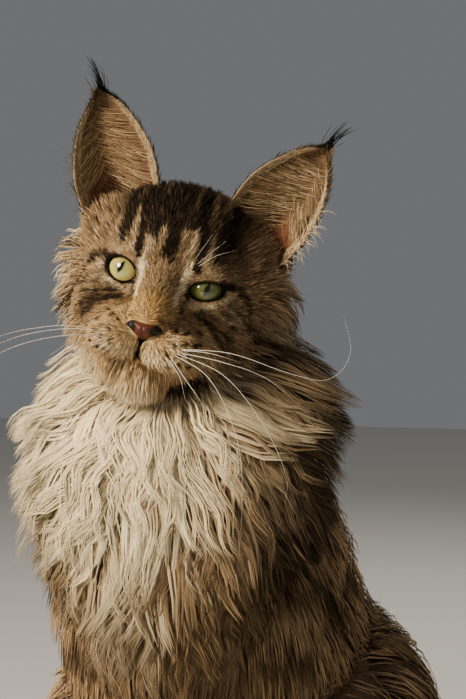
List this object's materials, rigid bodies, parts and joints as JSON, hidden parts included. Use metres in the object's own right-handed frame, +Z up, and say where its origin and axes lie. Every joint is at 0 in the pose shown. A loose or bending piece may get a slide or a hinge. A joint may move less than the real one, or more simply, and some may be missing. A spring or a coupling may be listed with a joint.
{
  "type": "maine coon cat",
  "caption": "Life-size still model of a young brown tabby Maine Coon cat sitting upright, head tilted, with tufted ears, cream ruff and a bushy tail laid round its side",
  "frame": {"origin": "under the middle of the bounding box, on the floor", "axes": "+Z is up, the cat faces -Y, its left side is +X"},
  "size_m": [0.3562, 0.3965, 0.4845],
  "materials": {
    "eye": "clear gloss over a yellow-green iris with a dark slit pupil",
    "nose_leather": "matte, finely pebbled, dark at the rim",
    "fur_face": "short flat fur, brown tabby stripes, warm cream muzzle",
    "fur_ear": "thin fur over pink skin, long pale furnishings, dark tuft at the tip",
    "fur_ruff": "long wavy cream locks, grey-brown at the sides",
    "fur_body": "long brown tabby coat",
    "fur_legs": "medium coat, barred",
    "fur_feet": "short coat, paler toes",
    "fur_tail": "very long bushy coat, ringed"
  },
  "bodies": {
    "root": {"eye_left": "eye", "eye_right": "eye", "nose": "nose_leather", "head": "fur_face", "ear_left": "fur_ear", "ear_right": "fur_ear", "neck_ruff": "fur_ruff", "forepaw_left": "fur_feet", "forepaw_right": "fur_feet", "foreleg_left": "fur_legs", "foreleg_right": "fur_legs", "haunch_left": "fur_body", "haunch_right": "fur_body", "hindfoot_left": "fur_feet", "hindfoot_right": "fur_feet", "tail_1": "fur_tail", "tail_2": "fur_tail", "tail_3": "fur_tail", "tail_4": "fur_tail", "torso": "fur_body"}
  },
  "joints": []
}
